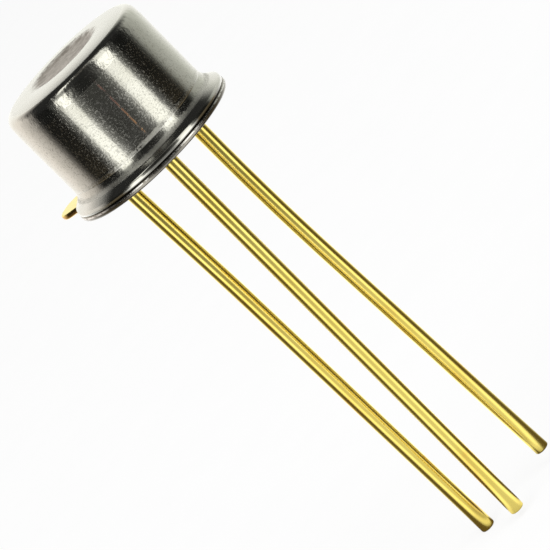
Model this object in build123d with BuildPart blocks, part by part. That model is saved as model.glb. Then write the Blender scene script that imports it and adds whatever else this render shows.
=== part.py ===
"""Three-lead metal can for a voltage reference, in the TO-52 outline.

A drawn nickel cap is welded by its flange to a gold-plated header. The header is a pressed
eyelet with an index tab, filled with glass that holds two leads clear of the metal. The
third lead is butt-welded to the eyelet. A silicon die sits on the header and is wired to it.

Frame: the seating plane, which is the underside of the header flange, is Z = 0. The can
stands up along +Z and the leads hang down along -Z. Sizes are in millimetres and degrees.
"""

import os
from math import asin, cos, degrees, radians, sin, tan

from build123d import *

# ---- leads ----
lead_diameter = 0.45
lead_circle = 2.54
lead_length = 14.5  # longest lead, below the seat
lead_2_shortfall = 0.20
lead_3_shortfall = 0.45
lead_tip_break = 0.05
lead_1_angle = 180
lead_2_angle = 270
lead_3_angle = 0

# bends left by handling: depth below the seat where each starts, its radius, and how far it
# turns the lead outward
lead_1_root_depth = 0.12
lead_1_root_radius = 6.0
lead_1_root_turn = -2.2
lead_1_shank_depth = 4.0
lead_1_shank_radius = 70.0
lead_1_shank_turn = 0.75
lead_3_shank_depth = 1.0
lead_3_shank_radius = 94.0
lead_3_shank_turn = 2.8

# ---- header eyelet ----
header_sheet = 0.17
platform_height = 0.72  # top of the platform above the seat
platform_edge_break = 0.08
platform_rim = 0.255  # metal outside each glass eye, up to the platform's side
glass_eye_diameter = 0.95
mouth_radius = 0.35  # roll of the sheet from the flange into the eyelet
flange_step = 0.015  # how far the header's flange stands out past the cap's
flange_edge_break = 0.045
tab_angle = 139
tab_length = 1.07
tab_width = 1.1
tab_end_corner = 0.5  # nearly full round
tab_root_corner = 0.12
tab_root = 0.25  # how far the tab's blank reaches in from the flange's edge

# ---- glass ----
glass_recess = 0.06  # glass level above the seat
glass_dip = 0.03  # glass level in the eyes, below the platform

# ---- cap ----
cap_sheet = 0.21
cap_clearance = 0.15  # between the platform's side and the cap's wall
can_height = 3.58  # top of the cap above the seat
shoulder_radius = 0.30
shoulder_inner_break = 0.12
crown_slope = 12.0  # fall of the crown where it meets the shoulder
crest_radius = 1.22  # highest ring of the top, between the crown and the dish
dish_depth = 0.075
dish_slope = 17.0  # steepest part of the dish's side
flare_radius = 0.24
flange_slope = 35.0  # fall of the flange from the flare to its edge
flange_width = 0.35  # from the cap's wall to the flange's edge
flange_edge = 0.15  # height of the flange's edge, pressed thinner by the weld
cap_edge_break = 0.05

# ---- die and bonds ----
die_length = 1.15
die_width = 1.0
die_thickness = 0.25
die_shift = 0.08  # off the axis both ways, away from the two glass eyes
attach_thickness = 0.02
attach_margin = 0.06
post_height = 0.45  # tops of leads 1 and 2 above the platform
pad_inset = 0.12
wire_diameter = 0.038
wire_rise = 0.20  # of the loop, over the straight line between its bonds
loop_climb = 0.2  # share of the span where the loop stops climbing
loop_fall = 0.6  # share of the span where it starts to fall
bond_length = 0.12
bond_width = 0.07
bond_thickness = 0.03
down_bond_reach = 0.42  # from the die's edge to the bond on the platform

# ---- sizes that follow ----
lead_radius = lead_diameter / 2
lead_offset = lead_circle / 2
lead_1_root = (lead_1_root_depth, lead_1_root_radius, lead_1_root_turn)
lead_1_shank = (lead_1_shank_depth, lead_1_shank_radius, lead_1_shank_turn)
lead_3_shank = (lead_3_shank_depth, lead_3_shank_radius, lead_3_shank_turn)
glass_eye_radius = glass_eye_diameter / 2
platform_radius = lead_offset + glass_eye_radius + platform_rim
platform_underside = platform_height - header_sheet
eyelet_radius = platform_radius - header_sheet
cap_inner_radius = platform_radius + cap_clearance
cap_radius = cap_inner_radius + cap_sheet
cap_flange_radius = cap_radius + flange_width
cap_flange_top = header_sheet + flange_edge
header_flange_radius = cap_flange_radius + flange_step
post_top = platform_height + post_height
die_base = platform_height + attach_thickness
die_top = die_base + die_thickness

os.makedirs("parts", exist_ok=True)


def keep(piece, name):
    """Label a finished piece and write it out."""
    piece.part.label = name
    export_step(piece.part, f"parts/{name}.step")


def round_the_axis(radius, angle):
    """Point in plan at a radius and an angle."""
    return (radius * cos(radians(angle)), radius * sin(radians(angle)))


lead_1_place = round_the_axis(lead_offset, lead_1_angle)
lead_2_place = round_the_axis(lead_offset, lead_2_angle)
lead_3_place = round_the_axis(lead_offset, lead_3_angle)


# ---- header: pressed eyelet with two glass eyes, and the index tab left on its flange ----
def on_the_outline(edge):
    """True for an edge on the outline of the flange and the tab."""
    middle = edge @ 0.5
    return Vector(middle.X, middle.Y).length > header_flange_radius - flange_edge_break


with BuildPart() as header:
    with BuildSketch(Plane.XZ) as eyelet_section:
        with BuildLine():
            flange_inside = header_flange_radius - tab_root
            outside = Polyline(
                (0, platform_height),
                (platform_radius, platform_height),
                (platform_radius, header_sheet),
                (flange_inside, header_sheet),
                (flange_inside, 0),
                (eyelet_radius + mouth_radius, 0),
            )
            mouth = JernArc(outside @ 1, outside % 1, mouth_radius, -90)
            Polyline(
                mouth @ 1,
                (eyelet_radius, platform_underside),
                (0, platform_underside),
                (0, platform_height),
            )
        make_face()
        rim_corner = eyelet_section.vertices().group_by(Axis.Z)[-1].sort_by(Axis.X)[-1]
        chamfer(rim_corner, platform_edge_break)
    revolve(axis=Axis.Z)

    with BuildSketch() as flange_outline:
        Circle(header_flange_radius)
        with Locations(Rotation(0, 0, tab_angle) * Location((flange_inside, 0))):
            Rectangle(tab_root + tab_length, tab_width, align=(Align.MIN, Align.CENTER))
        tab_corners = flange_outline.vertices().sort_by_distance((0, 0))
        fillet(tab_corners[-2:], tab_end_corner)
        fillet(tab_corners[:-2], tab_root_corner)
        Circle(flange_inside, mode=Mode.SUBTRACT)
    extrude(amount=header_sheet)
    rim_edges = header.edges().filter_by(on_the_outline)
    chamfer(rim_edges.filter_by(Axis.Z, reverse=True), flange_edge_break)

    with Locations(Plane.XY.offset(platform_height)):
        with Locations(lead_1_place, lead_2_place):
            Hole(glass_eye_radius, depth=header_sheet)

keep(header, "header")

# ---- glass: fills the eyelet from below and rises round the two insulated leads ----
glass_turn = degrees(asin((mouth_radius - glass_recess) / mouth_radius))

with BuildPart() as glass_seal:
    with BuildSketch(Plane.XZ):
        with BuildLine():
            inside = Polyline(
                (0, platform_underside),
                (eyelet_radius, platform_underside),
                (eyelet_radius, mouth_radius),
            )
            spread = JernArc(inside @ 1, inside % 1, mouth_radius, glass_turn)
            Polyline(spread @ 1, (0, glass_recess), (0, platform_underside))
        make_face()
    revolve(axis=Axis.Z)
    with BuildSketch(Plane.XY.offset(platform_underside)):
        with Locations(lead_1_place, lead_2_place):
            Circle(glass_eye_radius)
    extrude(amount=header_sheet - glass_dip)
    with BuildSketch():
        with Locations(lead_1_place, lead_2_place, lead_3_place):
            Circle(lead_radius)
    extrude(amount=platform_height, mode=Mode.SUBTRACT)

keep(glass_seal, "glass_seal")


# ---- leads: round wire, straight through the seal and bent a little further down ----
def run_down(start, heading, depth):
    """Straight run from a point along its heading to a depth below the seat."""
    return Line(start, start + heading * ((start.Z + depth) / -heading.Z))


def lead(place, angle, top, bends, length):
    """One lead from its top inside the can, along its bends, to its tip."""
    outward = Vector(*round_the_axis(1, angle))
    with BuildPart() as wire:
        with BuildLine(Plane((0, 0, 0), x_dir=outward, z_dir=outward.cross(Axis.Z.direction))) as route:
            start = Vector(*place, top)
            heading = -Axis.Z.direction
            for depth, radius, turn in bends:
                run = run_down(start, heading, depth)
                arc = JernArc(run @ 1, run % 1, radius, turn)
                start = arc @ 1
                heading = arc % 1
            run_down(start, heading, length)
        with BuildSketch(Plane(route.wire() @ 0, z_dir=route.wire() % 0)):
            Circle(lead_radius)
        sweep(path=route.wire())
        chamfer(wire.edges().sort_by(Axis.Z)[0], lead_tip_break)
    return wire


lead_1 = lead(lead_1_place, lead_1_angle, post_top, [lead_1_root, lead_1_shank], lead_length)
lead_2 = lead(lead_2_place, lead_2_angle, post_top, [], lead_length - lead_2_shortfall)
lead_3 = lead(
    lead_3_place, lead_3_angle, platform_underside, [lead_3_shank], lead_length - lead_3_shortfall
)
keep(lead_1, "lead_1")
keep(lead_2, "lead_2")
keep(lead_3, "lead_3")

# ---- cap: deep-drawn cup with a crowned top round a coined dish, flared into its flange ----
dish_blend_radius = dish_depth / 2 / (1 - cos(radians(dish_slope)))
dish_blend_run = dish_blend_radius * sin(radians(dish_slope))
shoulder_width = shoulder_radius * (1 - sin(radians(crown_slope)))
crown_width = cap_radius - shoulder_width - crest_radius
crown_radius = crown_width / sin(radians(crown_slope))
dish_level = can_height - dish_depth
ceiling = dish_level - cap_sheet
flare_turn = 90 - flange_slope
flare_width = flare_radius * (1 - cos(radians(flare_turn)))
flange_fall = (flange_width - flare_width) * tan(radians(flange_slope))
flare_height = cap_flange_top + flange_fall + flare_radius * sin(radians(flare_turn))

with BuildPart() as cap:
    with BuildSketch(Plane.XZ) as cap_section:
        with BuildLine():
            dish_middle = (0, dish_level)
            dish = Line(dish_middle, (crest_radius - 2 * dish_blend_run, dish_level))
            rise = JernArc(dish @ 1, dish % 1, dish_blend_radius, dish_slope)
            crest = JernArc(rise @ 1, rise % 1, dish_blend_radius, -dish_slope)
            crown = JernArc(crest @ 1, crest % 1, crown_radius, -crown_slope)
            shoulder = JernArc(crown @ 1, crown % 1, shoulder_radius, crown_slope - 90)
            wall = Line(shoulder @ 1, (cap_radius, flare_height))
            flare = JernArc(wall @ 1, wall % 1, flare_radius, flare_turn)
            inside = Polyline(
                dish_middle,
                (0, ceiling),
                (cap_inner_radius - shoulder_inner_break, ceiling),
                (cap_inner_radius, ceiling - shoulder_inner_break),
                (cap_inner_radius, flare_height),
            )
            inner_flare = JernArc(inside @ 1, inside % 1, flare_radius + cap_sheet, flare_turn)
            slope_end = inner_flare @ 1
            slope_width = (slope_end.Y - header_sheet) / tan(radians(flange_slope))
            Polyline(
                slope_end,
                (slope_end.X + slope_width, header_sheet),
                (cap_flange_radius, header_sheet),
                (cap_flange_radius, cap_flange_top),
                flare @ 1,
            )
        make_face()
        upper_edge = cap_section.vertices().group_by(Axis.X)[-1].sort_by(Axis.Z)[-1]
        chamfer(upper_edge, cap_edge_break)
    revolve(axis=Axis.Z)

keep(cap, "cap")


# ---- die: silicon on a gold preform ----
def die_block(length, width, base, thickness):
    """Flat block centred on the die's place."""
    with BuildPart() as block:
        with BuildSketch(Plane.XY.offset(base)):
            with Locations((die_shift, die_shift)):
                Rectangle(length, width)
        extrude(amount=thickness)
    return block


attach_length = die_length + 2 * attach_margin
attach_width = die_width + 2 * attach_margin
keep(die_block(attach_length, attach_width, platform_height, attach_thickness), "die_attach")
keep(die_block(die_length, die_width, die_base, die_thickness), "die")


# ---- bond wires: a loop in three stretches between two flattened wedge bonds ----
def bond_wire(pad, landing, landing_height):
    """Wire from a pad on the die to a landing, both given in plan."""
    start = Vector(*pad, die_top)
    end = Vector(*landing, landing_height)
    span = end - start
    wire_middle = Vector(0, 0, wire_diameter / 2)
    crest = Vector(0, 0, wire_rise)
    with BuildPart() as wire:
        with BuildLine() as loop:
            Polyline(
                start + wire_middle,
                start + span * loop_climb + crest,
                start + span * loop_fall + crest,
                end + wire_middle,
            )
        with BuildSketch(Plane(loop.wire() @ 0, z_dir=loop.wire() % 0)):
            Circle(wire_diameter / 2)
        sweep(path=loop.wire(), transition=Transition.RIGHT)
        for bond in (start, end):
            with BuildSketch(Plane(bond, x_dir=(span.X, span.Y))):
                Rectangle(bond_length, bond_width)
            extrude(amount=bond_thickness)
    return wire


pad_reach_x = die_length / 2 - pad_inset
pad_reach_y = die_width / 2 - pad_inset
pad_1 = (die_shift - pad_reach_x, die_shift)
pad_2 = (die_shift, die_shift - pad_reach_y)
pad_3 = (die_shift + pad_reach_x, die_shift)
platform_landing = (die_shift + die_length / 2 + down_bond_reach, die_shift)
keep(bond_wire(pad_1, lead_1_place, post_top), "bond_wire_1")
keep(bond_wire(pad_2, lead_2_place, post_top), "bond_wire_2")
keep(bond_wire(pad_3, platform_landing, platform_height), "bond_wire_3")
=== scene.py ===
"""Voltage reference in a round metal can: a turned nickel cap, a pressed and plated header and
three plated leads, stood on the lead tips on a white floor. The named sizes are in millimetres,
and MM turns them into the scene's metres."""

from math import atan2, cos, degrees, pi, radians, sin, tan

import bmesh
import bpy
from mathutils import Matrix, Vector


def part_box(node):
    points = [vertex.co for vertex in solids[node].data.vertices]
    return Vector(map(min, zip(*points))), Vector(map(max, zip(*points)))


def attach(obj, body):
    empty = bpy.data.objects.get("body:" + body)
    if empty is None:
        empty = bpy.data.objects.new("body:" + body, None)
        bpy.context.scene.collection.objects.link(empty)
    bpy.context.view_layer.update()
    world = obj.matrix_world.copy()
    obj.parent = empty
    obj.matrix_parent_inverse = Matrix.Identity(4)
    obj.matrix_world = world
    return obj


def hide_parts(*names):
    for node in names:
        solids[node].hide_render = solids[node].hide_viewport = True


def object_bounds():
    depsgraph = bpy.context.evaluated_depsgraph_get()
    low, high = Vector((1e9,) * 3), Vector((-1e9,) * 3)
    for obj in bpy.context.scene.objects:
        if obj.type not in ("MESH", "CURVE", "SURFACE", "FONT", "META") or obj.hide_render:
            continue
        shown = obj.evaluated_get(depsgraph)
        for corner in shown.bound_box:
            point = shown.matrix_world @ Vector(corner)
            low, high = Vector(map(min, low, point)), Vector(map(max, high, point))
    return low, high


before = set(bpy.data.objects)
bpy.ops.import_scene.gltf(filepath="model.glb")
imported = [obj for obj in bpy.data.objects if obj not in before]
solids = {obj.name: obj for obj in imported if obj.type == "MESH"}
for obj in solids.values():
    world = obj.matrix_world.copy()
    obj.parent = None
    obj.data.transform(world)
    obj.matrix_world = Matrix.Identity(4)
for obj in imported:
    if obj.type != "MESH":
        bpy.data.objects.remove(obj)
solid_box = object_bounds()

MM = 0.001
UP = Vector((0, 0, 1))
RIGHT = Vector((1, 0, 0))

# ---- where the can is looked at from ----
VIEW_TURN = radians(-3.8)  # round the can's axis, from straight in front of lead 2
VIEW_RISE = radians(14.2)
VIEW_ROLL = radians(45)
VIEW_REACH = 95
VIEW_WIDTH = 15.24
VIEW_NEAR = 1
VIEW_FAR = 20000
SENSOR_WIDTH = 36
AIM_HEIGHT = -4.88
AIM_LEFT = 0.09

# ---- the room ----
FLOOR_SIZE = 6000
ROOM_LIGHT = 2.0  # the brightest that polished metal can see; room tones are shares of it
PANEL_TURNS = {"panel_left": radians(-42), "panel_right": radians(40)}  # from the viewer
PANEL_RISE = radians(48)
PANEL_REACH = 320
PANEL_WIDTH = 220
PANEL_HEIGHT = 300
PANEL_POWER = 0.55

# ---- cap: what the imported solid's box gives is read from it ----
CAP_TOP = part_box("cap")[1].z / MM
CAP_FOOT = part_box("cap")[0].z / MM
CAP_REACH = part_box("cap")[1].x / MM
CAP_RADIUS = 2.36
CAP_SHEET = 0.21
CREST_RADIUS = 1.22
DISH_DEPTH = 0.075
DISH_SLOPE = 11
DISH_BEND = 0.8
LIP_BEND = 0.12
CROWN_SLOPE = 12
SHOULDER_BEND = 0.30
SHOULDER_FOOT = 0.375  # how far below the crest ring the shoulder meets the wall
DRAW_LINE_HEIGHT = 3.0  # where the last draw stopped; the wall leans in above it
WALL_LEAN = 2.5
DRAW_STEP = 0.006
FLARE_BEND = 0.42
FLANGE_SLOPE = 35
FLANGE_EDGE = 0.15
RIM_BEND = 0.09
FOOT_BEND = 0.05
CEILING = CAP_TOP - DISH_DEPTH - CAP_SHEET
CEILING_BEND = 0.12
RING_UNDER_LINE = 0.06  # two rings keep the wall's shading straight up to its ends
RING_OVER_FLARE = 0.04
CAP_STEPS = 256

# ---- header ----
HEADER_SHEET = CAP_FOOT
HEADER_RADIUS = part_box("header")[1].x / MM
PLATFORM_RADIUS = 2.0
PLATFORM_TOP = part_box("header")[1].z / MM
PLATFORM_BEND = 0.08
PLATFORM_FOOT_BEND = 0.04
PLATFORM_FOOT_TURN = 75
PLATFORM_FOOT_RUN = 0.02
EYELET_RADIUS = 1.83
MOUTH_BEND = 0.35
MOUTH_TURN = 80
RIM_BREAK = 0.045
SEAT_BREAK = 0.07
GLASS_EYE_RADIUS = 0.475
EYED_LEADS = ("lead_1", "lead_2")  # lead 3 ends under the platform and needs no eye
TAB_ANGLE = radians(139)
TAB_END = 3.795
TAB_HALF_WIDTH = 0.55
TAB_END_BEND = 0.5
TAB_ROOT_BEND = 0.12
FLANGE_STEPS = 240
PLATFORM_STEPS = 120
EYE_STEPS = 48
BREAK_STEPS = 4

# ---- leads ----
LEAD_OFFSET = 1.27
LEAD_RADIUS = 0.225
LEAD_SIDES = {"lead_1": -RIGHT, "lead_2": Vector((0, -1, 0)), "lead_3": RIGHT}
LEAD_DEPTHS = {"lead_1": 14.5, "lead_2": 14.3, "lead_3": 14.05}  # below the seat
LEAD_BENDS = {  # the depth where each bend starts, its radius and its turn outward
    "lead_1": ((0.12, 6.0, -2.2), (4.0, 70.0, 0.75)),
    "lead_2": (),
    "lead_3": ((1.0, 94.0, 2.8),),
}
LEAD_STEPS = 48
LEAD_BEND_STEPS = 10
TIP_BEND = 0.05
TIP_ROUNDS = (0.35, 0.65, 0.87, 1.0)  # shares of the tip's bend, down to the cut face
TIP_RIM = 0.03
TIP_DISH = 0.008

# ---- tools and finish ----
OVERSHOOT = 0.1  # how far a cutting tool stands out of the piece it cuts
SAME_PLACE = 0.0004  # corners closer than this are one corner
SMOOTH_TURNED = 25  # bends softer than this, in degrees, are shaded smooth
SMOOTH_PRESSED = 30
SMOOTH_DRAWN = 40
SEAM_SHADE_FRONT = (-0.9, -1.9)  # painted shade along the seam comes up between these places, towards the front


# ---------------------------------------------------------------- finishes, node by node
class Level:
    """What a socket gives, which varies over a surface. Arithmetic on it adds Math nodes."""

    def __init__(self, finish, socket):
        self.finish = finish
        self.socket = socket

    def math(self, operation, *terms):
        return self.finish.node("ShaderNodeMath", {"operation": operation}, dict(enumerate(terms)))

    def __add__(self, other):
        return self.math("ADD", self, other)

    def __radd__(self, other):
        return self.math("ADD", other, self)

    def __sub__(self, other):
        return self.math("SUBTRACT", self, other)

    def __rsub__(self, other):
        return self.math("SUBTRACT", other, self)

    def __mul__(self, other):
        return self.math("MULTIPLY", self, other)

    def __rmul__(self, other):
        return self.math("MULTIPLY", other, self)

    def __truediv__(self, other):
        return self.math("DIVIDE", self, other)

    def __pow__(self, other):
        return self.math("POWER", self, other)

    def __abs__(self):
        return self.math("ABSOLUTE", self)


class Finish:
    """A finish being mixed: one node tree and the one way nodes are added to it."""

    def __init__(self, tree):
        tree.nodes.clear()
        self.tree = tree

    def node(self, kind, settings, values, out=0):
        """Add a node, make its settings, then set or link its sockets."""
        node = self.tree.nodes.new(kind)
        for name, setting in settings.items():
            if name == "stops":
                self.set_stops(node.color_ramp, setting)
            else:
                setattr(node, name, setting)
        for name, value in values.items():
            socket = node.inputs[name]
            if isinstance(value, Level):
                self.tree.links.new(value.socket, socket)
            else:
                socket.default_value = (*value, 1) if socket.type == "RGBA" else value
        return Level(self, node.outputs[out]) if node.outputs else None

    def set_stops(self, ramp, stops):
        while len(ramp.elements) < len(stops):
            ramp.elements.new(1)
        for element, (place, tone) in zip(ramp.elements, stops):
            element.position = place
            element.color = (*tone, 1)

    def place(self):
        """Place on the piece, in millimetres."""
        at = self.node("ShaderNodeTexCoord", {}, {}, "Object")
        return self.node("ShaderNodeVectorMath", {"operation": "SCALE"}, {0: at, "Scale": 1 / MM})

    def stretched(self, place, stretch):
        return self.node("ShaderNodeVectorMath", {"operation": "MULTIPLY"}, {0: place, 1: stretch})

    def parts(self, place):
        split = self.node("ShaderNodeSeparateXYZ", {}, {0: place})
        return [Level(self, socket) for socket in split.socket.node.outputs]

    def reach(self, across, away):
        """How far out from an upright axis a place is."""
        return (across * across + away * away) ** 0.5

    def noise(self, place, scale, detail, roughness=0.5):
        values = {"Vector": place, "Scale": scale, "Detail": detail, "Roughness": roughness}
        return self.node("ShaderNodeTexNoise", {}, values, "Fac")

    def ramp(self, level, *stops):
        return self.node("ShaderNodeValToRGB", {"stops": stops}, {0: level})

    def between(self, level, low, high):
        """0 at low, 1 at high, smooth between; low may be the larger."""
        settings = {"interpolation_type": "SMOOTHSTEP"}
        return self.node("ShaderNodeMapRange", settings, {0: level, 1: low, 2: high})

    def blend(self, share, one, other, kind="MIX"):
        """One colour turned into another by a share."""
        settings = {"data_type": "RGBA", "blend_type": kind}
        return self.node("ShaderNodeMix", settings, {0: share, 6: one, 7: other}, 2)

    def bump(self, height, depth, under=None):
        """Bump where a height of 1 stands out by the depth, in millimetres."""
        values = {"Height": height, "Strength": 1.0, "Distance": depth * MM}
        if under:
            values["Normal"] = under
        return self.node("ShaderNodeBump", {}, values)

    def rays(self):
        """1 for what the viewer sees directly, and 1 for what polished metal mirrors."""
        seen = self.node("ShaderNodeLightPath", {}, {}, "Is Camera Ray")
        return seen, Level(self, seen.socket.node.outputs["Is Glossy Ray"])


def new_finish(name):
    material = bpy.data.materials.new(name)
    material.use_nodes = True
    return material, Finish(material.node_tree)


def surface(finish, values):
    body = finish.node("ShaderNodeBsdfPrincipled", {}, values)
    finish.node("ShaderNodeOutputMaterial", {}, {"Surface": body})


def drawn_nickel():
    """Bright drawn nickel: pitted down the wall, scuffed above the flare, satin on the crown
    and the flange's sides, darker and duller in the dish, with painted shade along the seam at
    the foot on the front side, and one rust-brown hairline in front."""
    material, finish = new_finish("drawn_nickel")
    place = finish.place()
    across, away, up = finish.parts(place)
    out = finish.reach(across, away)
    front = finish.between(away, 0, -1)
    wall = finish.between(up, DRAW_LINE_HEIGHT + 0.3, DRAW_LINE_HEIGHT)
    wall = wall * (1 - finish.between(out, CAP_RADIUS + 0.09, CAP_RADIUS + 0.14))
    scuffs = finish.between(up, 0.92, 0.86) * finish.between(up, 0.75, 0.79)
    flared = finish.between(out, CAP_RADIUS + 0.025, CAP_RADIUS + 0.07)
    flared = flared * finish.between(out, CAP_RADIUS + 0.16, CAP_RADIUS + 0.12)
    satin = finish.between(out, CAP_RADIUS + 0.02, CAP_RADIUS + 0.10)
    satin = satin * finish.between(away, -1.95, -1.35)
    # painted shade: the cap's foot is darkened along the seam with the header, on the front side
    # only
    seam_shade = finish.between(up, CAP_FOOT + 0.065, CAP_FOOT + 0.035)
    seam_shade = seam_shade * finish.between(out, CAP_REACH - 0.16, CAP_REACH - 0.11)
    seam_shade = seam_shade * finish.between(away, *SEAM_SHADE_FRONT)
    crown = finish.between(out, CAP_RADIUS - 0.22, CAP_RADIUS - 0.32)
    crown = crown * finish.between(up, CAP_TOP - 0.28, CAP_TOP - 0.23)
    ragged = finish.between(up, DRAW_LINE_HEIGHT - 0.04, DRAW_LINE_HEIGHT + 0.06)
    ragged = ragged * finish.between(out, CAP_RADIUS - 0.21, CAP_RADIUS - 0.08)

    draw_lines = finish.noise(finish.stretched(place, (9, 9, 0.8)), 1.0, 3, 0.6)
    blotches = finish.noise(place, 1.6, 3)
    mottle = finish.noise(place, 5, 3, 0.6)
    dish = finish.between(out + 0.5 * mottle, CREST_RADIUS + 0.3, CREST_RADIUS)
    grain = finish.noise(place, 19, 2, 0.6)
    pits = wall * finish.between(grain, 0.52, 0.64)
    marks = front * scuffs * finish.between(mottle, 0.30, 0.50)
    marks = marks * (0.2 + 0.8 * finish.between(abs(across), 0.75, 0.40))

    waver = 0.04 * finish.noise(finish.stretched(place, (0, 0, 3.0)), 1.0, 3)
    hairline = front * finish.between(abs(across + waver - 0.02), 0.042, 0.010)
    hairline = hairline * finish.between(up, 0.93, 1.10) * finish.between(up, 3.15, 2.7)
    hairline = hairline * (0.3 + 0.7 * finish.between(mottle, 0.40, 0.52))
    rust = finish.ramp((up - 1.0) / 2.0, (0.1, (0.85, 0.40, 0.12)), (0.6, (0.30, 0.10, 0.06)))

    tone = finish.ramp(blotches, (0.3, (0.655, 0.645, 0.575)), (0.7, (0.71, 0.70, 0.635)))
    # a darker colour inside the dish
    darker_dish = finish.ramp(mottle, (0.34, (0.30, 0.265, 0.22)), (0.64, (0.52, 0.47, 0.41)))
    tone = finish.blend(dish, tone, darker_dish)
    tone = finish.blend(0.8 * hairline, tone, rust)
    tone = finish.blend(0.22 * pits, tone, (0.2, 0.2, 0.16))
    # painted shade along the seam at the cap's foot
    tone = finish.blend(0.65 * seam_shade, tone, (0.05, 0.045, 0.035))
    roughness = 0.10 + 0.16 * pits + 0.04 * blotches + 0.42 * marks
    roughness = roughness + 0.30 * flared * (0.4 + mottle)
    roughness = roughness + 0.22 * dish + 0.12 * crown + 0.3 * hairline
    height = 0.14 * draw_lines + 0.20 * wall * grain + mottle * (0.8 * scuffs + 1.5 * ragged)
    surface(finish, {
        "Base Color": tone,
        "Metallic": 1 - 0.4 * crown - 0.3 * satin,
        "Roughness": roughness,
        "Normal": finish.bump(height, 0.007),
    })
    return material


def gold_tone(finish, place):
    """Gold, redder where the plating is thin."""
    thin = finish.noise(finish.stretched(place, (1.1, 1.1, 0.7)), 1.0, 3, 0.55)
    return finish.ramp(
        thin, (0.35, (0.97, 0.80, 0.21)), (0.6, (0.95, 0.75, 0.17)), (0.78, (0.93, 0.54, 0.11))
    )


def drawn_gold(name, roughness):
    """Gold with light marks that run along the wire."""
    material, finish = new_finish(name)
    place = finish.place()
    along = finish.noise(finish.stretched(place, (4, 4, 0.4)), 1.0, 3)
    grain = finish.noise(place, 5, 2)
    surface(finish, {
        "Base Color": gold_tone(finish, place),
        "Metallic": 1.0,
        "Roughness": roughness + 0.1 * along,
        "Normal": finish.bump(0.7 * along + 0.3 * grain, 0.0012),
    })
    return material


def plated_header():
    """Gold-plated sheet whose rim the welding electrode has worn to bare metal, with painted shade
    along the rim's top seam and bottom edge on the front side, and whose tab shows its redder
    sheared edge."""
    material, finish = new_finish("plated_header")
    place = finish.place()
    across, away, up = finish.parts(place)
    out = finish.reach(across, away)
    scuffs = finish.noise(place, 7, 3, 0.6)
    grain = finish.noise(place, 16, 2)
    worn = finish.between(out, HEADER_RADIUS - 0.14, HEADER_RADIUS - 0.08)
    worn = worn * finish.between(out, HEADER_RADIUS + 0.04, HEADER_RADIUS + 0.015)
    streak = finish.between(up, 0.098, 0.115) * finish.between(up, 0.150, 0.132)
    streak = streak * finish.between(scuffs, 0.42, 0.52)
    # painted shade: the rim's top along the seam and its bottom edge are darkened, on the front
    # side only
    seam = finish.between(up, 0.140, 0.158)
    base = finish.between(up, 0.045, 0.020)
    base = base * finish.between(out, HEADER_RADIUS - 0.12, HEADER_RADIUS - 0.04)
    painted_edge_shade = (seam + base * (1 - seam)) * finish.between(away, *SEAM_SHADE_FRONT)
    sheared = finish.between(out, HEADER_RADIUS + 0.04, HEADER_RADIUS + 0.08)
    sheared = sheared * finish.between(up, 0.16, 0.13) * finish.between(up, 0.0, 0.03)

    bare = finish.blend(streak, (0.33, 0.31, 0.27), (0.95, 0.93, 0.88))
    tone = finish.blend(worn, gold_tone(finish, place), bare)
    # painted shade darkens the worn rim at its top seam and bottom edge
    tone = finish.blend(0.95 * painted_edge_shade * worn, tone, (0.03, 0.02, 0.015))
    tone = finish.blend(0.8 * sheared, tone, (0.62, 0.33, 0.12))
    surface(finish, {
        "Base Color": tone,
        "Metallic": 1.0,
        "Roughness": 0.16 + 0.14 * scuffs,
        "Normal": finish.bump(0.8 * scuffs + 0.2 * grain, 0.0015),
    })
    return material


def seal_glass():
    """Dark sealing glass with a fused, slightly wavy face, drawn up round each lead."""
    material, finish = new_finish("seal_glass")
    place = finish.place()
    across, away, _ = finish.parts(place)
    waves = finish.noise(place, 1.6, 2)
    bubbles = finish.noise(place, 14, 1)
    collars = 0.0
    for side in LEAD_SIDES.values():
        beside = finish.reach(across - LEAD_OFFSET * side.x, away - LEAD_OFFSET * side.y)
        collars = collars + finish.between(beside, LEAD_RADIUS + 0.22, LEAD_RADIUS)
    drawn_up = finish.bump(collars, 0.05)
    surface(finish, {
        "Base Color": finish.ramp(waves, (0.3, (0.012, 0.018, 0.022)), (0.7, (0.03, 0.045, 0.05))),
        "Roughness": 0.06 + 0.12 * bubbles,
        "Normal": finish.bump(waves + 0.1 * bubbles, 0.02, drawn_up),
    })
    return material


def polished_silicon():
    """Silicon with a grid of metal tracks."""
    material, finish = new_finish("polished_silicon")
    place = finish.place()
    cells = finish.node("ShaderNodeTexBrick", {}, {"Vector": place, "Scale": 6.0}, "Fac")
    surface(finish, {
        "Base Color": finish.blend(cells, (0.30, 0.31, 0.36), (0.62, 0.60, 0.55)),
        "Metallic": 1.0,
        "Roughness": 0.2 + 0.2 * cells,
        "Normal": finish.bump(cells, 0.002),
    })
    return material


# ---------------------------------------------------------------- modelling
def take_up(piece):
    """Put one piece in hand and lay the others down."""
    bpy.ops.object.select_all(action="DESELECT")
    bpy.context.view_layer.objects.active = piece
    piece.select_set(True)


def select(kind, chosen):
    """Select the verts or the edges of the piece in hand whose corner places pass a test."""
    bpy.ops.mesh.select_mode(type={"verts": "VERT", "edges": "EDGE"}[kind])
    bpy.ops.mesh.select_all(action="DESELECT")
    shape = bmesh.from_edit_mesh(bpy.context.edit_object.data)
    for part in getattr(shape, kind):
        corners = [part.co] if kind == "verts" else [corner.co for corner in part.verts]
        part.select_set(chosen(corners))
    shape.select_flush_mode()
    bmesh.update_edit_mesh(bpy.context.edit_object.data)


def shade_evenly(piece, smooth):
    """Smooth across bends softer than an angle, with flats and straights kept flat."""
    take_up(piece)
    bpy.ops.object.shade_smooth_by_angle(angle=radians(smooth))
    even = piece.modifiers.new("even", "WEIGHTED_NORMAL")
    even.weight = 100
    even.keep_sharp = True
    bpy.ops.object.modifier_apply(modifier=even.name)
    return piece


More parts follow.
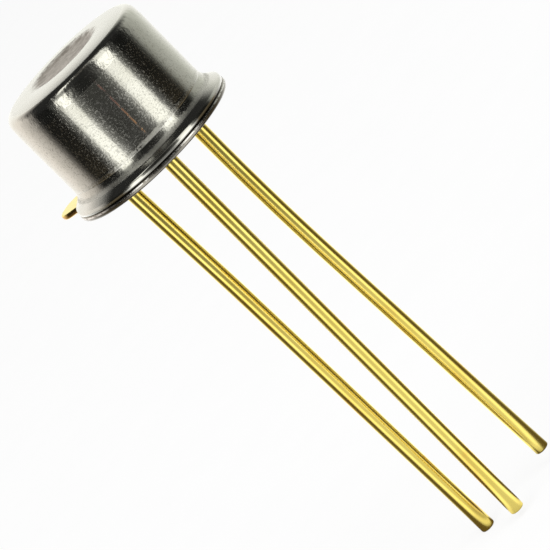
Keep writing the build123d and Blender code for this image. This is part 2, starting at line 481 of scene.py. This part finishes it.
class Drawing:
    """A vertex or a ring of edges drawn along in one plane: extruded down the straights and
    spun round the bends. Its place is how far out and up it is, in millimetres, and its
    heading is in degrees."""

    def __init__(self, name, outward, out, up, heading, upward=UP, ring=0.0):
        corners = LEAD_STEPS if ring else 3
        bpy.ops.object.select_all(action="DESELECT")
        bpy.ops.mesh.primitive_circle_add(vertices=corners, radius=(ring or 1) * MM)
        self.piece = bpy.context.active_object
        self.piece.name = name
        self.outward = outward
        self.upward = upward
        self.out = out
        self.up = up
        self.heading = heading
        bpy.ops.object.mode_set(mode="EDIT")
        bpy.ops.mesh.select_mode(type="VERT")
        if not ring:
            bpy.ops.mesh.merge(type="CENTER")
        bpy.ops.transform.translate(value=self.point(out, up))

    def point(self, out, up):
        return (self.outward * out + self.upward * up) * MM

    def ahead(self, length):
        """How far out and how far up a length along the heading goes."""
        way = radians(self.heading)
        return length * cos(way), length * sin(way)

    def to(self, out, up, spread=1.0):
        """Straight to a point; a ring may widen or narrow on the way."""
        step = self.point(out - self.out, up - self.up)
        bpy.ops.mesh.extrude_region_move(TRANSFORM_OT_translate={"value": step})
        if spread != 1.0:
            middle = self.point(out, up)
            bpy.ops.transform.resize(value=(spread, spread, spread), center_override=middle)
        self.heading = degrees(atan2(up - self.up, out - self.out))
        self.out = out
        self.up = up

    def run(self, length, spread=1.0):
        out, up = self.ahead(length)
        self.to(self.out + out, self.up + up, spread)

    def run_to(self, up, short=0.0):
        """Straight along the heading to a height, or short of it by a length."""
        self.run((up - self.up) / sin(radians(self.heading)) - short)

    def bend(self, radius, turn, steps):
        """Round a bend, to the left of the heading if the turn is positive."""
        square = pi / 2 if turn > 0 else -pi / 2
        side = radians(self.heading) + square
        middle_out = self.out + radius * cos(side)
        middle_up = self.up + radius * sin(side)
        bpy.ops.mesh.spin(
            steps=steps,
            angle=radians(turn),
            center=self.point(middle_out, middle_up),
            axis=self.upward.cross(self.outward),
        )
        self.heading += turn
        back = radians(self.heading) - square
        self.out = middle_out + radius * cos(back)
        self.up = middle_up + radius * sin(back)

    def turn_round(self, steps):
        """Spin the whole line round the can's axis into a closed piece."""
        bpy.ops.mesh.select_all(action="SELECT")
        bpy.ops.mesh.spin(steps=steps, angle=2 * pi, center=(0, 0, 0), axis=UP)
        return self.closed(SMOOTH_TURNED)

    def closed(self, smooth):
        bpy.ops.mesh.select_all(action="SELECT")
        bpy.ops.mesh.remove_doubles(threshold=SAME_PLACE * MM)
        bpy.ops.mesh.normals_make_consistent(inside=False)
        bpy.ops.object.mode_set(mode="OBJECT")
        return shade_evenly(self.piece, smooth)


def turned_cap():
    """The cap's whole outline, from the middle of its dish round the rim to its ceiling."""
    dish = radians(DISH_SLOPE)
    lean = radians(WALL_LEAN)
    slope = radians(FLANGE_SLOPE)
    flare_turn = 90 - FLANGE_SLOPE

    lip = DISH_BEND + LIP_BEND
    side = (DISH_DEPTH - lip * (1 - cos(dish))) / sin(dish)
    floor = CREST_RADIUS - lip * sin(dish) - side * cos(dish)
    lean_height = CAP_TOP - SHOULDER_FOOT - DRAW_LINE_HEIGHT
    shoulder_out = CAP_RADIUS - DRAW_STEP - lean_height * tan(lean)
    shoulder = SHOULDER_BEND * (cos(lean) - sin(radians(CROWN_SLOPE)))
    crown_bend = (shoulder_out - shoulder - CREST_RADIUS) / sin(radians(CROWN_SLOPE))
    flare_width = FLARE_BEND * (1 - cos(radians(flare_turn)))
    fall = (CAP_REACH - CAP_RADIUS - flare_width) * tan(slope)
    flare_top = CAP_FOOT + FLANGE_EDGE + fall + FLARE_BEND * sin(radians(flare_turn))
    rim_width = RIM_BEND * (1 - sin(slope))
    inside = CAP_RADIUS - CAP_SHEET
    inner_bend = FLARE_BEND + CAP_SHEET
    slope_out = inside + inner_bend * (1 - cos(radians(flare_turn)))
    slope_up = flare_top - inner_bend * sin(radians(flare_turn))

    cap = Drawing("can", RIGHT, 0, CAP_TOP - DISH_DEPTH, 0)
    cap.run(floor)
    cap.bend(DISH_BEND, DISH_SLOPE, steps=4)
    cap.run(side)
    cap.bend(LIP_BEND, -DISH_SLOPE, steps=3)
    cap.bend(crown_bend, -CROWN_SLOPE, steps=8)
    cap.bend(SHOULDER_BEND, CROWN_SLOPE + WALL_LEAN - 90, steps=19)
    cap.to(CAP_RADIUS - DRAW_STEP, DRAW_LINE_HEIGHT)
    cap.to(CAP_RADIUS, DRAW_LINE_HEIGHT - 3 * DRAW_STEP)
    cap.to(CAP_RADIUS, DRAW_LINE_HEIGHT - RING_UNDER_LINE)
    cap.to(CAP_RADIUS, flare_top + RING_OVER_FLARE)
    cap.to(CAP_RADIUS, flare_top)
    cap.bend(FLARE_BEND, flare_turn, steps=14)
    cap.run((CAP_REACH - rim_width - cap.out) / cos(slope))
    cap.bend(RIM_BEND, FLANGE_SLOPE - 90, steps=9)
    cap.to(CAP_REACH, CAP_FOOT + FOOT_BEND)
    cap.bend(FOOT_BEND, -90, steps=5)
    cap.to(slope_out + (slope_up - CAP_FOOT) / tan(slope), CAP_FOOT)
    cap.to(slope_out, slope_up)
    cap.bend(inner_bend, -flare_turn, steps=9)
    cap.to(inside, CEILING - CEILING_BEND)
    cap.bend(CEILING_BEND, 90, steps=9)
    cap.to(0, CEILING)
    return cap.turn_round(CAP_STEPS)


def cut(piece, tool, operation):
    """Join a tool to a piece or cut it away, and take the tool off the bench."""
    take_up(piece)
    change = piece.modifiers.new("change", "BOOLEAN")
    change.operation = operation
    change.solver = "EXACT"
    change.object = tool
    bpy.ops.object.modifier_apply(modifier=change.name)
    bpy.data.objects.remove(tool)


def flange_and_tab():
    """The header's flat flange: its round outline and tab drawn in plan, pressed up to the
    sheet's height, with the edge broken all round."""
    root = TAB_HALF_WIDTH + TAB_ROOT_BEND
    root_out = ((HEADER_RADIUS + TAB_ROOT_BEND) ** 2 - root**2) ** 0.5
    root_angle = atan2(root, root_out)
    root_turn = degrees(root_angle)
    tab_side = TAB_END - TAB_END_BEND - root_out
    touch = (HEADER_RADIUS * cos(root_angle), HEADER_RADIUS * sin(root_angle))
    outward = Vector((cos(TAB_ANGLE), sin(TAB_ANGLE), 0))

    plan = Drawing("pressed_header", outward, *touch, 90 + root_turn, upward=UP.cross(outward))
    plan.bend(HEADER_RADIUS, 360 - 2 * root_turn, FLANGE_STEPS)
    plan.bend(TAB_ROOT_BEND, root_turn - 90, steps=8)
    plan.run(tab_side)
    plan.bend(TAB_END_BEND, 90, steps=16)
    plan.run(2 * (TAB_HALF_WIDTH - TAB_END_BEND))
    plan.bend(TAB_END_BEND, 90, steps=16)
    plan.run(tab_side)
    plan.bend(TAB_ROOT_BEND, root_turn - 90, steps=8)
    bpy.ops.mesh.select_all(action="SELECT")
    bpy.ops.mesh.remove_doubles(threshold=SAME_PLACE * MM)
    bpy.ops.mesh.edge_face_add()
    bpy.ops.mesh.extrude_region_move(TRANSFORM_OT_translate={"value": UP * HEADER_SHEET * MM})
    bpy.ops.mesh.select_all(action="SELECT")
    bpy.ops.mesh.normals_make_consistent(inside=False)
    level = HEADER_SHEET / 2 * MM
    for side, size in ((1, RIM_BREAK), (-1, SEAT_BREAK)):
        select("edges", lambda ends: min(side * (end.z - level) for end in ends) > level / 2)
        bpy.ops.mesh.bevel(offset=size * MM, segments=BREAK_STEPS)
    bpy.ops.object.mode_set(mode="OBJECT")
    return plan.piece


def pressed_header():
    """Flange and tab, with the platform raised from them, the eyelet's mouth rolled in from
    below and two eyes punched for the glass."""
    header = flange_and_tab()
    platform = Drawing("platform", RIGHT, 0, PLATFORM_TOP, 0)
    platform.run(PLATFORM_RADIUS - PLATFORM_BEND)
    platform.bend(PLATFORM_BEND, -90, steps=6)
    platform.to(PLATFORM_RADIUS, HEADER_SHEET + PLATFORM_FOOT_BEND)
    platform.bend(PLATFORM_FOOT_BEND, PLATFORM_FOOT_TURN, steps=3)
    platform.run(PLATFORM_FOOT_RUN)
    platform.to(platform.out, HEADER_SHEET / 2)
    platform.to(0, HEADER_SHEET / 2)
    cut(header, platform.turn_round(PLATFORM_STEPS), "UNION")

    mouth = Drawing("mouth", RIGHT, 0, PLATFORM_TOP - HEADER_SHEET, 0)
    mouth.run(EYELET_RADIUS)
    mouth.to(EYELET_RADIUS, MOUTH_BEND)
    mouth.bend(MOUTH_BEND, MOUTH_TURN, steps=13)
    mouth.run(OVERSHOOT)
    mouth.to(mouth.out, -OVERSHOOT)
    mouth.to(0, -OVERSHOOT)
    cut(header, mouth.turn_round(PLATFORM_STEPS), "DIFFERENCE")

    for node in EYED_LEADS:
        eye = Drawing("eye", RIGHT, 0, PLATFORM_TOP + OVERSHOOT, 0)
        eye.run(GLASS_EYE_RADIUS)
        eye.to(GLASS_EYE_RADIUS, MOUTH_BEND)
        eye.to(0, MOUTH_BEND)
        punch = eye.turn_round(EYE_STEPS)
        punch.location = LEAD_SIDES[node] * LEAD_OFFSET * MM
        bpy.ops.object.transform_apply(location=True)
        cut(header, punch, "DIFFERENCE")
    bpy.ops.object.mode_set(mode="EDIT")
    bpy.ops.mesh.select_all(action="SELECT")
    bpy.ops.mesh.remove_doubles(threshold=SAME_PLACE * MM)
    bpy.ops.mesh.dissolve_degenerate(threshold=SAME_PLACE * MM)
    bpy.ops.object.mode_set(mode="OBJECT")
    return shade_evenly(header, SMOOTH_PRESSED)


def drawn_lead(node):
    """Round wire drawn down its bends, its tip rolled by the cutter round a cut face."""
    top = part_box(node)[1].z / MM
    lead = Drawing(node + "_wire", LEAD_SIDES[node], LEAD_OFFSET, top, -90, ring=LEAD_RADIUS)
    for start, radius, turn in LEAD_BENDS[node]:
        lead.run_to(-start)
        lead.bend(radius, turn, LEAD_BEND_STEPS)
    lead.run_to(-LEAD_DEPTHS[node], short=TIP_BEND)
    done = 0
    width = LEAD_RADIUS
    for share in TIP_ROUNDS:
        narrowed = LEAD_RADIUS - TIP_BEND * (1 - (1 - share**2) ** 0.5)
        lead.run(TIP_BEND * (share - done), narrowed / width)
        done = share
        width = narrowed
    bpy.ops.mesh.edge_face_add()
    bpy.ops.mesh.inset(thickness=TIP_RIM * MM, depth=0)
    bpy.ops.transform.translate(value=lead.point(*lead.ahead(-TIP_DISH)))
    select("verts", lambda place: place[0].z > (top - SAME_PLACE) * MM)
    bpy.ops.mesh.edge_face_add()
    bpy.ops.mesh.inset(thickness=TIP_RIM * MM, depth=0)
    return lead.closed(SMOOTH_DRAWN)


# ---------------------------------------------------------------- the room round the can
def way_from_can(turn, rise):
    """Which way a thing lies from the can: its turn from lead 2's side, and its rise."""
    return Vector((sin(turn) * cos(rise), -cos(turn) * cos(rise), sin(rise)))


def bearing_of(finish, across, away):
    """Bearing of a place or direction, 0 towards the viewer, growing to the right."""
    right = cos(VIEW_TURN) * across + sin(VIEW_TURN) * away
    nearer = sin(VIEW_TURN) * across - cos(VIEW_TURN) * away
    return right.math("ARCTAN2", right, nearer)


def greys(*stops):
    """Stops of a ramp through plain greys."""
    return [(place, (level, level, level)) for place, level in stops]


def tones_by_angle(stops, first, last):
    """Stops of a ramp from one angle to another, each with its brightness and its tint."""
    tones = []
    for angle, level, tint in stops:
        tone = tuple(level / ROOM_LIGHT * share for share in tint)
        tones.append(((angle - first) / (last - first), tone))
    return tones


def room_tone(finish, bearing):
    """What stands round the can at each bearing: dim in front, a soft panel to each side of
    it, black cards beside those, and white behind, warmer on the left."""
    warm = (1.07, 1.0, 0.95)
    plain = (1.0, 1.0, 0.96)
    cool = (0.98, 1.0, 0.93)
    stops = (
        (-180, 1.18, plain), (-138, 1.05, warm), (-128, 0.94, warm), (-119, 0.76, warm),
        (-110, 0.64, warm), (-101, 0.42, warm), (-95, 0.14, warm), (-88, 0.012, plain),
        (-62, 0.010, plain), (-52, 0.08, plain), (-46.5, 1.7, plain), (-32, 1.7, plain),
        (-30, 0.26, plain), (-22, 0.08, plain), (-15, 0.018, plain), (5, 0.018, plain),
        (14, 0.04, plain), (22, 0.11, plain), (27, 0.18, plain), (30, 1.6, plain),
        (49, 1.7, plain), (52, 0.22, plain), (57, 0.07, plain), (64, 0.010, plain),
        (85, 0.010, cool), (92, 0.06, cool), (98, 0.30, cool), (105, 0.45, cool),
        (122, 0.56, cool), (140, 0.78, cool), (155, 0.98, plain), (180, 1.18, plain),
    )
    return finish.ramp(bearing / (2 * pi) + 0.5, *tones_by_angle(stops, -180, 180))


def paper_tone(finish, bearing):
    """What the bare paper close by gives back, the same on the left as on the right."""
    white = (1.0, 1.0, 1.0)
    brown = (1.0, 0.8, 0.5)
    stops = (
        (0, 0.22, white), (18, 0.30, white), (27, 1.3, white), (34, 1.75, white),
        (48, 1.7, white), (56, 0.50, white), (64, 0.14, brown), (92, 0.11, brown),
        (104, 0.18, brown), (120, 0.50, white), (138, 1.1, white), (155, 1.6, white),
        (180, 1.7, white),
    )
    return finish.ramp(abs(bearing) / pi, *tones_by_angle(stops, 0, 180))


def floor_paper():
    """White paper. Polished metal sees the dim room in it, the bare paper close by, and the
    shade under the lead tips."""
    material, finish = new_finish("floor_paper")
    seen, mirrored = finish.rays()
    place = finish.place()
    across, away, _ = finish.parts(place)
    paper = finish.ramp(finish.noise(place, 0.5, 3), *greys((0.3, 0.86), (0.7, 0.90)))
    shaded = finish.node("ShaderNodeBsdfDiffuse", {}, {"Color": paper})
    white = finish.node("ShaderNodeEmission", {}, {"Color": (1, 1, 1), "Strength": 1.0})
    plain = finish.node("ShaderNodeMixShader", {}, {0: 0.85 * seen, 1: shaded, 2: white})

    bearing = bearing_of(finish, across, away)
    reach = finish.reach(across, away)
    in_front = finish.between(abs(bearing), radians(63), radians(56))
    hazy = in_front * finish.between(reach, 82, 104) * finish.between(reach, 190, 130)
    lit = in_front * finish.between(reach, 52, 16)
    bright = (1.1 / ROOM_LIGHT, 1.1 / ROOM_LIGHT, 1.1 / ROOM_LIGHT)
    tone = finish.blend(0.4 * hazy, room_tone(finish, bearing), (0.07, 0.07, 0.065))
    tone = finish.blend(finish.between(reach, 78, 62), tone, paper_tone(finish, bearing))
    tone = finish.blend(0.6 * lit, tone, bright)
    tone = finish.blend(0.3 * finish.between(reach, 2.2, 1.6), tone, (0.06, 0.04, 0.02))
    room = finish.node("ShaderNodeEmission", {}, {"Color": tone, "Strength": ROOM_LIGHT})
    mixed = finish.node("ShaderNodeMixShader", {}, {0: mirrored, 1: plain, 2: room})
    finish.node("ShaderNodeOutputMaterial", {}, {"Surface": mixed})
    return material


def light_the_room():
    """Plain light all round; polished metal sees the panels and cards, which fade upwards."""
    world = bpy.data.worlds.new("room")
    bpy.context.scene.world = world
    world.use_nodes = True
    finish = Finish(world.node_tree)
    seen, mirrored = finish.rays()
    direction = finish.node("ShaderNodeTexCoord", {}, {}, "Generated")
    across, away, up = finish.parts(direction)
    bearing = bearing_of(finish, across, away)
    turned = abs(bearing)
    behind = finish.between(turned, radians(84), radians(96))
    straight = finish.between(turned, radians(163), radians(173))

    left = finish.ramp(up, *greys(
        (0.0, 1), (0.15, 0.95), (0.26, 0.75), (0.36, 0.42), (0.46, 0.26), (0.68, 0.26),
        (0.78, 0.45), (0.87, 0.85), (0.94, 0.9), (0.98, 0.5), (1.0, 0.2),
    ))
    right = finish.ramp(up, *greys(
        (0.0, 1), (0.26, 0.9), (0.4, 0.7), (0.78, 0.72), (0.87, 0.5), (0.93, 0.25), (1.0, 0.1),
    ))
    ahead = finish.blend(finish.between(bearing, -0.05, 0.05), left, right)
    back = finish.between(up, 0.74, 0.32) * (1 - straight * finish.between(up, 0.44, 0.56))
    fade = finish.blend(behind, ahead, back)
    tone = room_tone(finish, bearing * (1 - 0.3 * up * up))
    tone = finish.blend(fade, (0.012, 0.012, 0.012), tone)
    above = finish.ramp(
        up * (1 - behind),
        (0.88, (0, 0, 0)), (0.94, (0.065, 0.06, 0.055)), (0.98, (0.025, 0.024, 0.022)),
    )
    tone = finish.blend(1.0, tone, above, "LIGHTEN")

    strength = 0.45 + 0.55 * seen
    plain = finish.node("ShaderNodeBackground", {}, {"Color": (1, 1, 1), "Strength": strength})
    room = finish.node("ShaderNodeBackground", {}, {"Color": tone, "Strength": ROOM_LIGHT})
    mixed = finish.node("ShaderNodeMixShader", {}, {0: mirrored, 1: plain, 2: room})
    finish.node("ShaderNodeOutputWorld", {}, {"Surface": mixed})


def hang_the_panels():
    """Two soft lamps, one to each side of the viewer, that polished metal doesn't mirror."""
    for name, turn in PANEL_TURNS.items():
        lamp = bpy.data.lights.new(name, "AREA")
        lamp.shape = "RECTANGLE"
        lamp.size = PANEL_WIDTH * MM
        lamp.size_y = PANEL_HEIGHT * MM
        lamp.energy = PANEL_POWER
        panel = bpy.data.objects.new(name, lamp)
        panel.visible_glossy = False
        bpy.context.scene.collection.objects.link(panel)
        way = way_from_can(turn + VIEW_TURN, PANEL_RISE)
        panel.location = way * (PANEL_REACH * MM)
        panel.rotation_euler = way.to_track_quat("Z", "Y").to_euler()


def lay_the_floor():
    bpy.ops.object.select_all(action="DESELECT")
    lowest = solid_box[0].z
    bpy.ops.mesh.primitive_plane_add(size=FLOOR_SIZE * MM, location=(0, 0, lowest))
    floor = bpy.context.active_object
    floor.name = "floor"
    bpy.ops.object.transform_apply(location=True)
    floor.data.materials.append(floor_paper())


def place_the_camera():
    sight = way_from_can(VIEW_TURN, VIEW_RISE)
    right = Vector((cos(VIEW_TURN), sin(VIEW_TURN), 0))
    top = sight.cross(right)
    aim = UP * (AIM_HEIGHT * MM) - right * (AIM_LEFT * MM)
    rolled_right = right * cos(VIEW_ROLL) - top * sin(VIEW_ROLL)
    rolled_top = right * sin(VIEW_ROLL) + top * cos(VIEW_ROLL)
    camera = bpy.data.cameras.new("camera")
    camera.sensor_width = SENSOR_WIDTH
    camera.lens = SENSOR_WIDTH * VIEW_REACH / VIEW_WIDTH
    camera.clip_start = VIEW_NEAR * MM
    camera.clip_end = VIEW_FAR * MM
    holder = bpy.data.objects.new("camera", camera)
    bpy.context.scene.collection.objects.link(holder)
    turn = Matrix((rolled_right, rolled_top, sight)).transposed().to_4x4()
    holder.matrix_world = Matrix.Translation(aim + sight * (VIEW_REACH * MM)) @ turn
    bpy.context.scene.camera = holder


# ---------------------------------------------------------------- putting it together
def dress(piece, material):
    piece.data.materials.clear()
    piece.data.materials.append(material)


def stand_in(piece, node, material):
    """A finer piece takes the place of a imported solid."""
    dress(piece, material)
    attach(piece, "root")
    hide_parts(node)


bpy.context.scene.view_settings.view_transform = "Standard"
light_the_room()
hang_the_panels()
lay_the_floor()
place_the_camera()

stand_in(turned_cap(), "cap", drawn_nickel())
stand_in(pressed_header(), "header", plated_header())
lead_gold = drawn_gold("lead_gold", 0.16)
for node in LEAD_SIDES:
    stand_in(drawn_lead(node), node, lead_gold)

dress(solids["glass_seal"], seal_glass())
dress(solids["die_attach"], drawn_gold("preform_gold", 0.35))
dress(solids["die"], polished_silicon())
wire_gold = drawn_gold("wire_gold", 0.16)
for wire in ("bond_wire_1", "bond_wire_2", "bond_wire_3"):
    dress(solids[wire], wire_gold)
